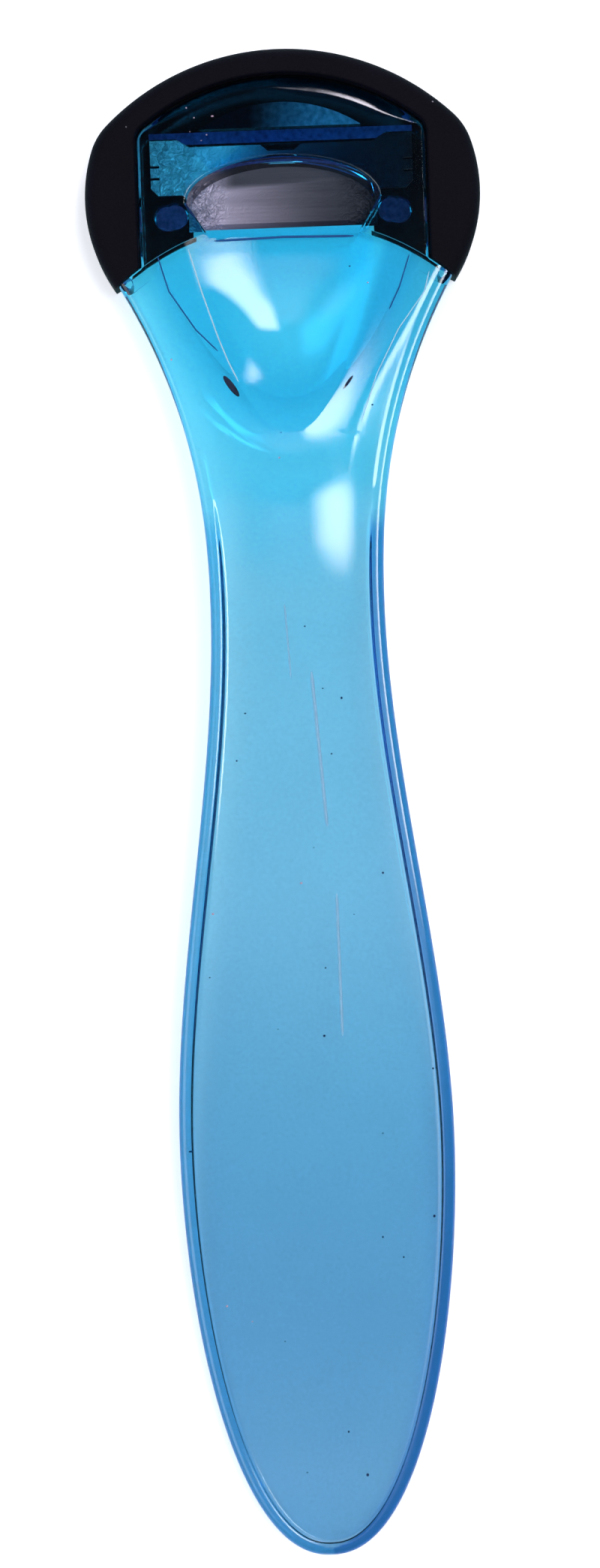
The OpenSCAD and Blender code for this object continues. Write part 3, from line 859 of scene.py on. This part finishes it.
def blade_steel():
    """Thin ground steel strip with a faint lengthwise grain and rippled wings, painted light and painted
    glints on the wings at the left, and painted shade that deepens to the right and under the window's upper
    edge.
    """
    p = scene_props()
    material = bpy.data.materials.new("blade_steel")
    b = NodeBuilder(material)
    where = b.where()
    at = b.axes(where)
    along = b.add("ShaderNodeMapping", {"Vector": where, "Scale": (60, 2600, 60)})
    grain = b.noise(along.outputs[0], 1.0, 3.0)
    waves = b.noise(where, 1500.0, 2.0, 2.4)
    # Ripples at the ends of the wings, and a nearly plain face in the middle
    ripple = b.calc("MULTIPLY", waves, b.ramp(b.calc("ABSOLUTE", at["X"]), 0.006, 0.0105, 0.06, 1.0))
    bump = b.bump(b.calc("MULTIPLY_ADD", grain, 0.05, ripple), 1.0, 0.0003)
    ground = b.blend(grain, p.steel, (p.steel[0] * 0.8, p.steel[1] * 0.8, p.steel[2] * 0.82))
    # Painted light: the wings are lighter under the plastic at the left, past the window's oval
    window_y = (WINDOW_Y - OVERALL_L / 2) * MM
    moved = b.add("ShaderNodeVectorMath", {0: where, 1: (0, window_y, 0)}, operation="SUBTRACT")
    oval = b.scaled(moved.outputs[0], (1 / (WINDOW_HALF * MM), 1 / (WINDOW_RISE * MM), 0))
    around = b.add("ShaderNodeVectorMath", {0: oval}, operation="LENGTH")
    covered = b.ramp(around.outputs["Value"], 1.05, 1.14)
    lit = b.calc("MULTIPLY", covered, b.ramp(at["X"], -0.009, 0.001, 1.0, 0.0, soft=True))
    bright = b.calc("MAXIMUM", lit, b.ramp(at["X"], -0.0113, -0.0099, 1.0, 0.0))
    # Painted glints: the ripples of the lit wings vary in brightness
    wing_glints = b.scaled((0.95, 0.95, 1.0), b.ramp(waves, 0.42, 0.62, 0.78, 1.0))
    unshaded_steel = b.blend(bright, ground, wing_glints)
    # Painted shade that deepens to the right, and a painted shadow band under the window's upper edge
    right_shade = b.calc("SUBTRACT", 1.0, b.calc("POWER", b.ramp(at["X"], 0.0085, -0.0094), 2.3))
    painted_right_shade = b.calc("MULTIPLY", right_shade, b.calc("SUBTRACT", 1.0, lit))
    inside = b.calc("SUBTRACT", 1.0, covered)
    band = b.calc("MULTIPLY", b.ramp(at["Y"], 0.0669, 0.0684, soft=True), inside)
    shade = b.calc("MULTIPLY", band, b.ramp(at["X"], -0.0095, -0.005, soft=True))
    painted_shade_mix = b.calc("MAXIMUM", painted_right_shade, b.calc("MULTIPLY", shade, 0.97))
    b.finish(b.principled({"Base Color": b.blend(painted_shade_mix, unshaded_steel, (0.026, 0.03, 0.042)), "Metallic": 0.9,
                           "Roughness": b.ramp(grain, 0.0, 1.0, 0.38, 0.6), "Normal": bump}))
    return material


def speck_material(name, colour):
    """Dull finish of dust, and of the marks and lines that paint shade and highlights, a little uneven in
    tone.
    """
    material = bpy.data.materials.new(name)
    b = NodeBuilder(material)
    cloud = b.noise(b.where(), 9000.0)
    tone = b.blend(cloud, colour, [c * 0.6 for c in colour])
    b.finish(b.principled({"Base Color": tone, "Roughness": 0.8, "Normal": b.bump(cloud, 0.6, 0.00003)}))
    return material


# What a user can change, and the steps that build the shaver


class ShaverProps(bpy.types.PropertyGroup):
    """Sizes and colours of the shaver that a user would change."""

    grip_w: FloatProperty(name="Grip width", description="Widest width of the grip", default=0.030,
                          unit="LENGTH", subtype="DISTANCE")
    neck_w: FloatProperty(name="Neck width", description="Narrowest width of the handle", default=0.0189,
                          unit="LENGTH", subtype="DISTANCE")
    rim_w: FloatProperty(name="Rim width", description="Width of the raised rim", default=0.00125,
                         unit="LENGTH", subtype="DISTANCE")
    wall_w: FloatProperty(name="Rim wall", description="Width of the slope from rim to panel",
                          default=0.00045, unit="LENGTH", subtype="DISTANCE")
    panel_recess: FloatProperty(name="Panel depth", description="Depth of the sunk grip panel",
                                default=0.0008, unit="LENGTH", subtype="DISTANCE")
    scoop_depth: FloatProperty(name="Scoop depth", description="Depth of the thumb scoop", default=0.0019,
                               unit="LENGTH", subtype="DISTANCE")
    lip_rise: FloatProperty(name="Scoop lip", description="Rise of the swelling round the scoop",
                            default=0.0005, unit="LENGTH", subtype="DISTANCE")
    bead_h: FloatProperty(name="Bead", description="Height of the thin bead on the right-hand flank",
                          default=0.000045, unit="LENGTH", subtype="DISTANCE")
    neck_crown: FloatProperty(name="Neck crown", description="Rise of the neck's middle", default=0.0004,
                              unit="LENGTH", subtype="DISTANCE")
    island_round: FloatProperty(name="Island rounding", description="Radius of the island's top edge",
                                default=0.0012, unit="LENGTH", subtype="DISTANCE")
    window_rim: FloatProperty(name="Window rim", description="Radius of the window's upper rim",
                              default=0.0003, unit="LENGTH", subtype="DISTANCE")
    cover_round: FloatProperty(name="Cover rounding", description="Radius of the cover's upper edge",
                               default=0.0013, unit="LENGTH", subtype="DISTANCE")
    plastic_tint: FloatVectorProperty(name="Plastic tint", description="Colour that the clear plastic passes",
                                      default=(0.2, 0.785, 0.9), subtype="COLOR", min=0, max=1)
    tint_depth: FloatProperty(name="Tint depth", default=420.0,
                              description="How fast the plastic takes light, for each metre")
    lamp_tint: FloatVectorProperty(name="Light through plastic", default=(0.34, 0.42, 0.44),
                                   description="Colour of the light that it lets through",
                                   subtype="COLOR", min=0, max=1)
    black: FloatVectorProperty(name="Black plastic", description="Colour of the head cover",
                               default=(0.002, 0.002, 0.0036), subtype="COLOR", min=0, max=1)
    grain_scale: FloatProperty(name="Grain scale", description="Grains of the cover for each metre",
                               default=3600.0)
    steel: FloatVectorProperty(name="Steel", description="Colour of the blade", default=(0.41, 0.383, 0.52),
                               subtype="COLOR", min=0, max=1)
    camera_height: FloatProperty(name="Camera height", description="Height of the camera above the shaver",
                                 default=0.42, unit="LENGTH", subtype="DISTANCE")
    dust_seed: IntProperty(name="Dust seed", description="Seed of the dust's sizes", default=7, min=0)


def give_matt_faces(body):
    """Gives the faces under the tongue that lie over the blade's edges their own matt finishes."""
    finishes = (
        # The relief's deep blue is a painted glow, a little lighter at the right, and the hollow runs from
        # dark at the left to painted light at the right
        (RELIEF_Z, BACK_Y, STOP_Y, matt_blue("matt_relief_painted_glow", (0.07, 0.09, 0.3), (0.09, 0.12, 0.34))),
        (HOLLOW_Z, STOP_Y, OPENING_Y, matt_blue("matt_hollow_painted_light", (0.002, 0.004, 0.012), (0.5, 0.5, 0.7))),
        (BLADE_Z, STUD_Y - STUD_D, STUD_Y + STUD_D,
         matt_blue("matt_studs", (0.36, 0.12, 0.26), (0.2, 0.08, 0.17))),
    )
    for slot, (height, low, high, material) in enumerate(finishes, start=1):
        body.data.materials.append(material)
        for face in body.data.polygons:
            centre = face.center / MM
            reach = max(abs(body.data.vertices[v].co.x) for v in face.vertices) / MM
            level = abs(centre.z - height) < LEVEL and face.normal.z < -0.9
            if level and low < centre.y + OVERALL_L / 2 < high and reach < BED_HALF + LEVEL:
                face.material_index = slot


class ShaverHandle(bpy.types.Operator):
    """Model the clear blue handle with its scoop, rim, windowed tongue and studs"""

    bl_idname = "shaver.handle"
    bl_label = "Handle"

    def execute(self, context):
        body = loft_body()
        combine(body, shoulder_cutter(), "DIFFERENCE")
        front = tongue()
        for side in (-1, 1):
            combine(front, stud(side), "UNION")
        combine(front, key(), "UNION")
        combine(body, front, "UNION")
        combine(body, window_cutter(), "DIFFERENCE")
        repair(body)
        finish_shape(body)
        paint_tint_and_shade(body)
        body.data.materials.clear()
        body.data.materials.append(clear_plastic())
        give_matt_faces(body)
        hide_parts("handle")
        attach(body, "handle")
        return {"FINISHED"}


def cover_body():
    """Solid plan of the cover with its rounded sole and upper edge, up to the shoulder's arc."""
    turns = np.radians(np.linspace(0, 90, 9))
    steps = [(SOLE_IN * (1 - math.sin(a)), SOLE_RISE * (1 - math.cos(a))) for a in turns]
    steps += rounded_edge(scene_props().cover_round / MM, COVER_Z, turns)
    cover = stacked("cover_shell", [cover_outline(inset) for inset, _ in steps], [z for _, z in steps])
    ring = arc((0, SHOULDER_CY), SHOULDER_R + BUTT_GAP, 0, 359, 359)
    combine(cover, prism("near", ring, -PAST, COVER_Z + PAST), "DIFFERENCE")
    return cover


def opening_cutter(low_r):
    """Opening over the tongue, with a small round at its upper edge."""
    r = 0.3
    steps = [(0, FLANGE_Z), (0, COVER_Z - r), *rounded_edge(r, COVER_Z, np.radians([30, 60, 80, 90]))]
    steps += [(r, COVER_Z + PAST)]
    return stacked("opening", [opening_outline(-flare, low_r) for flare, _ in steps], [z for _, z in steps])


class ShaverCover(bpy.types.Operator):
    """Model the black head cover with its pocket, opening and mouth"""

    bl_idname = "shaver.cover"
    bl_label = "Head cover"

    def execute(self, context):
        low_r = SHOULDER_R - SINK
        cover = cover_body()
        pocket = prism("pocket", pocket_outline(0, low_r), SOLE_T, FLANGE_Z + SIDE_GAP)
        combine(cover, pocket, "DIFFERENCE")
        combine(cover, opening_cutter(low_r), "DIFFERENCE")
        mouth = rectangle(STEM_HALF - 0.4, COVER_LOW_Y - PAST, EDGE_Y + 1.2)
        combine(cover, prism("mouth", mouth, -PAST, SOLE_T + PAST / 2), "DIFFERENCE")
        repair(cover)
        finish_shape(cover)
        cover.data.materials.clear()
        cover.data.materials.append(black_plastic())
        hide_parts("head_cover")
        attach(cover, "head_cover")
        return {"FINISHED"}


class ShaverBlade(bpy.types.Operator):
    """Give the blade of the solid model its steel"""

    bl_idname = "shaver.blade"
    bl_label = "Blade finish"

    def execute(self, context):
        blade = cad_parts["blade"]
        blade.data.materials.clear()
        blade.data.materials.append(blade_steel())
        return {"FINISHED"}


# Dust on the handle: where each speck lies, and how wide it is
DARK_DUST = [
    (0.7, 101.5, 0.2), (2.4, 94.7, 0.2), (4.4, 93.6, 0.25), (-6.1, 92.3, 0.25), (-7.2, 87.2, 0.2),
    (3.1, 87.6, 0.2), (0.8, 77.5, 0.15), (8.2, 74.5, 0.25), (4.9, 70.1, 0.15), (1.6, 64.4, 0.2),
    (-11.0, 63.8, 0.2), (-3.8, 57.9, 0.15), (1.2, 57.0, 0.3), (12.9, 53.0, 0.2), (7.2, 46.1, 0.2),
    (-13.9, 44.9, 0.25), (12.5, 36.8, 0.3), (6.8, 34.7, 0.2), (9.0, 32.4, 0.2), (-4.3, 23.6, 0.15),
    (2.3, 13.4, 0.2), (-2.4, 9.1, 0.2), (4.2, 8.6, 0.3), (7.0, 140.4, 0.2), (8.9, 125.2, 0.25),
    (-1.1, 122.5, 0.15),
]
PALE_DUST = [
    (8.9, 138.5, 0.2), (-12.7, 130.9, 0.2),
    (-0.7, 73.7, 0.3), (-10.4, 70.7, 0.25), (-10.5, 27.7, 0.25), (-7.8, 25.9, 0.2), (-1.4, 119.8, 0.2),
    (-7.3, 157.2, 0.3), (-8.0, 155.2, 0.2), (-8.6, 154.6, 0.15), (-10.1, 158.2, 0.15), (-9.3, 157.1, 0.15),
    (-9.8, 155.6, 0.12),
]


def join_pieces(made, name, colour):
    """Joins small pieces that lie on the handle, and finishes them."""
    bpy.ops.object.select_all(action="DESELECT")
    for piece in made:
        piece.select_set(True)
    bpy.context.view_layer.objects.active = made[0]
    bpy.ops.object.join()
    bpy.ops.object.shade_smooth()
    obj = bpy.context.object
    obj.name = name
    obj.data.materials.append(speck_material(name, colour))
    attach(obj, "handle")


def flat_ball(x, y, z, size, subdivisions, turn=0.0):
    """Small flattened ball of the given length, width and height, with its middle at a point."""
    bpy.ops.object.select_all(action="DESELECT")
    bpy.ops.mesh.primitive_ico_sphere_add(subdivisions=subdivisions, radius=0.5 * MM,
                                          location=Vector((x, y - OVERALL_L / 2, z)) * MM,
                                          rotation=(0, 0, math.radians(turn)))
    ball = bpy.context.object
    ball.scale = size
    bpy.ops.object.transform_apply(location=True, rotation=True, scale=True)
    return ball


def dust(name, places, colour, chance):
    """Specks of dust that lie on the handle's top."""
    made = []
    for x, y, wide in places:
        z = ISLAND_Z if y > LIP_Y else top_at(x, y)
        size = (wide, wide * chance.uniform(0.6, 1.3), wide * 0.25)
        made.append(flat_ball(x, y, z + 0.01, size, 2))
    join_pieces(made, name, colour)


# Painted shade beside the scoop, as dark flat marks: middle, length, width and turn in degrees of each
DARK_SHADE_MARKS = [(-6.3, 127.75, 2.8, 0.7, -55), (6.35, 127.7, 1.8, 0.32, 52)]
# Fine lines on the handle's top: the points that each runs through, and its width. The pale scuffs are also
# painted highlight streaks along the grip
SCUFFS_AND_STREAK_HIGHLIGHTS = [
    ([(1.25, 96.6), (2.35, 79.7)], 0.34),
    ([(3.1, 72.5), (3.2, 56.9)], 0.3),
    ([(-1.4, 104.0), (-1.0, 96.0)], 0.14),
]
# Painted highlights along the scoop's left crease and the right-hand ridge
CREASE_HIGHLIGHTS = [
    ([(-10.45, 142.9), (-9.8, 140.5), (-9.1, 138.0), (-8.3, 135.5), (-7.5, 133.0), (-6.55, 130.5),
      (-5.5, 128.2)], 0.13),
    ([(15.6, 139.5), (15.0, 137.3), (12.0, 133.3), (9.5, 128.5), (7.6, 123.3)], 0.1),
]
# Painted shade: dark lines along the lip's edge and along the keel's fold
FOLD_SHADE_LINES = [
    ([(-7.6, LIP_Y - 0.35), (0, LIP_Y - 0.12), (7.6, LIP_Y - 0.35)], 0.24),
    ([(-13.8, 142.2), (-12.7, 138.3), (-9.9, 134.0), (-7.6, 131.6)], 0.14),
    ([(13.5, 141.4), (12.3, 137.9), (11.1, 135.5)], 0.14),
]


# The lines lie this far above the plastic, are this thick, and have this many steps along them
LINE_LIFT = 0.035
LINE_T = 0.01
LINE_STEPS = 240


def slivers(name, lines, colour):
    """Thin slivers that follow the handle's top and taper to both ends."""
    made = []
    for points, widest in lines:
        bpy.ops.object.select_all(action="DESELECT")
        bpy.ops.mesh.primitive_grid_add(x_subdivisions=2, y_subdivisions=LINE_STEPS, size=1)
        sliver = bpy.context.object
        across, t, _ = read_points(sliver).T + [[0], [0.5], [0]]
        way = np.array(points, dtype=float)
        passed = np.concatenate([[0], np.cumsum(np.hypot(*np.diff(way, axis=0).T))])
        step = passed[-1] / 400

        def point(at):
            return np.array([np.interp(at, passed, way[:, k]) for k in (0, 1)])

        at = t * passed[-1]
        run = point(at + step) - point(at - step)
        taper = clamp01(4 * np.sqrt(t * (1 - t))) ** 0.7
        off = across * (widest * taper + 0.01) / np.hypot(*run)
        x, y = point(at) + off * np.array([run[1], -run[0]])
        place(sliver, np.column_stack([x, y, top(x, y) + LINE_LIFT]))
        solid = sliver.modifiers.new("thick", "SOLIDIFY")
        solid.thickness = LINE_T * MM
        select_only(sliver)
        bpy.ops.object.modifier_apply(modifier=solid.name)
        made.append(sliver)
    join_pieces(made, name, colour)


class ShaverMarks(bpy.types.Operator):
    """Add the dark marks of painted shade beside the scoop, and the fine lines on the handle's top, which are
    scuffs, painted highlights and painted shade
    """

    bl_idname = "shaver.marks"
    bl_label = "Marks"

    def execute(self, context):
        # Painted shade: dark flat marks beside the scoop's steep walls
        marks = [flat_ball(x, y, top_at(x, y), (long, wide, 0.1), 3, turn)
                 for x, y, long, wide, turn in DARK_SHADE_MARKS]
        join_pieces(marks, "painted_shade_marks", (0.004, 0.012, 0.05))
        slivers("scuffs_and_painted_streaks", SCUFFS_AND_STREAK_HIGHLIGHTS, (0.33, 0.66, 0.9))
        slivers("crease_painted_highlights", CREASE_HIGHLIGHTS, (0.62, 0.88, 0.98))
        slivers("fold_painted_shade_lines", FOLD_SHADE_LINES, (0.006, 0.09, 0.32))
        return {"FINISHED"}


class ShaverDust(bpy.types.Operator):
    """Scatter the specks of dust that lie on the handle"""

    bl_idname = "shaver.dust"
    bl_label = "Dust"

    def execute(self, context):
        chance = random.Random(scene_props().dust_seed)
        dust("dark_dust", DARK_DUST, (0.01, 0.03, 0.12), chance)
        dust("pale_dust", PALE_DUST, (0.75, 0.5, 0.62), chance)
        return {"FINISHED"}


# Name of each light, its place, what it aims at, its size, its radiance and its colour, and how far
# from its middle it stays fully bright, as a share of its size
LIGHTS = (
    ("key", (0.30, 0.07, 1.13), (0, 0.04, 0), (0.54, 0.45), 14, (1.0, 0.99, 0.98), 0.2),
    ("ceiling", (0, -0.08, 1.2), (0, -0.08, 0), (0.7, 0.64), 1.4, (0.9, 0.93, 1.0), 0.12),
    ("window", (0.47, 1.05, 0.92), (0, 0.07, 0), (0.8, 0.3), 22, (0.95, 0.88, 1.0), 0.12),
    ("fill", (-0.8, -0.3, 1.0), (0, 0, 0), (1.4, 1.4), 3.0, (0.95, 0.97, 1.0), 0.12),
)


def soft_light(name, place_at, aim, size, radiance, colour, core):
    """Area light that is brightest in its middle and fades out towards its edges."""
    light = bpy.data.lights.new(name, "AREA")
    light.shape = "RECTANGLE"
    light.size, light.size_y = size
    light.energy = radiance * math.pi * size[0] * size[1]
    light.color = colour
    b = NodeBuilder(light)
    across = b.axes(b.add("ShaderNodeNewGeometry").outputs["Parametric"])
    fades = []
    for axis in (0, 1):
        span = b.calc("ABSOLUTE", b.calc("SUBTRACT", across[axis], 0.5))
        fades.append(b.ramp(span, core, 0.5, 1.0, 0.0, soft=True))
    glow = b.add("ShaderNodeEmission", {"Strength": b.calc("MULTIPLY", *fades)})
    b.add("ShaderNodeOutputLight", {0: glow.outputs[0]})
    obj = bpy.data.objects.new(name, light)
    bpy.context.scene.collection.objects.link(obj)
    obj.location = place_at
    obj.rotation_euler = (Vector(aim) - Vector(place_at)).to_track_quat("-Z", "Y").to_euler()


def pale_floor():
    """White floor that the camera sees as blown out, and that glows with painted light, cyan under the head
    and grey elsewhere, which lights the head's plastic from below.
    """
    material = bpy.data.materials.new("pale_floor")
    b = NodeBuilder(material)
    # Painted light: the glow that all but camera rays see turns cyan under the head
    near_head = b.ramp(b.axes(b.where())["Y"], 0.015, 0.05, soft=True)
    below = b.blend(near_head, (0.24, 0.25, 0.26), (0.2, 0.58, 0.62))
    seen = b.add("ShaderNodeLightPath").outputs["Is Camera Ray"]
    b.finish(b.principled({"Base Color": (0.92, 0.92, 0.93, 1), "Roughness": 0.9,
                           "Specular IOR Level": 0.0, "Emission Strength": 1.0,
                           "Emission Color": b.blend(seen, below, (0.5, 0.5, 0.5))}))
    return material


def studio_world():
    """Dark room with a blue horizon, which the camera sees as pale grey."""
    world = bpy.data.worlds.new("studio")
    b = NodeBuilder(world)
    up = b.axes(b.add("ShaderNodeTexCoord").outputs["Generated"])["Z"]
    low = b.ramp(up, 0.1, 0.5, 1.0, 0.0, soft=True)
    room = b.blend(low, (0.03, 0.035, 0.045), (0.05, 0.28, 0.85))
    seen = b.add("ShaderNodeLightPath").outputs["Is Camera Ray"]
    back = b.add("ShaderNodeBackground", {"Color": b.blend(seen, room, (0.86, 0.89, 0.93))})
    b.add("ShaderNodeOutputWorld", {0: back.outputs[0]})
    return world


def photo_camera():
    """Camera straight above the shaver, with the photograph's frame, scale and turn."""
    height = scene_props().camera_height
    data = bpy.data.cameras.new("camera")
    data.sensor_width = 36
    data.lens = data.sensor_width * height / (FRAME_H * MM_PER_PIXEL * MM)
    data.clip_start, data.clip_end = 0.01, 10
    camera = bpy.data.objects.new("camera", data)
    bpy.context.scene.collection.objects.link(camera)
    camera.location = (VIEW_X * MM, VIEW_Y * MM, height + VIEW_PLANE_Z * MM)
    camera.rotation_euler = (0, 0, math.radians(-VIEW_TURN))
    return camera


class ShaverStage(bpy.types.Operator):
    """Set the pale floor, the soft lights and the camera above the shaver"""

    bl_idname = "shaver.stage"
    bl_label = "Stage"

    def execute(self, context):
        scene = context.scene
        bpy.ops.object.select_all(action="DESELECT")
        bpy.ops.mesh.primitive_plane_add(size=4, location=(0, 0, -FLOOR_GAP * MM))
        floor = bpy.context.object
        floor.name = "floor"
        floor.data.materials.append(pale_floor())
        scene.world = studio_world()
        for light in LIGHTS:
            soft_light(*light)
        scene.camera = photo_camera()
        scene.view_settings.view_transform = "Standard"
        return {"FINISHED"}


class ShaverPanel(bpy.types.Panel):
    """Sizes, colours and steps of the shaver"""

    bl_idname = "VIEW3D_PT_shaver"
    bl_label = "Callus shaver"
    bl_space_type = "VIEW_3D"
    bl_region_type = "UI"
    bl_category = "Shaver"

    def draw(self, context):
        for name in ShaverProps.__annotations__:
            self.layout.prop(context.scene.shaver, name)
        for step in STEPS:
            self.layout.operator(step.bl_idname)


STEPS = (ShaverHandle, ShaverCover, ShaverBlade, ShaverMarks, ShaverDust, ShaverStage)
CLASSES = (ShaverProps, *STEPS, ShaverPanel)


def register():
    for c in CLASSES:
        bpy.utils.register_class(c)
    bpy.types.Scene.shaver = PointerProperty(type=ShaverProps)


def unregister():
    del bpy.types.Scene.shaver
    for c in reversed(CLASSES):
        bpy.utils.unregister_class(c)


def main():
    register()
    bpy.ops.shaver.handle()
    bpy.ops.shaver.cover()
    bpy.ops.shaver.blade()
    bpy.ops.shaver.marks()
    bpy.ops.shaver.dust()
    bpy.ops.shaver.stage()


if __name__ == "__main__":
    main()
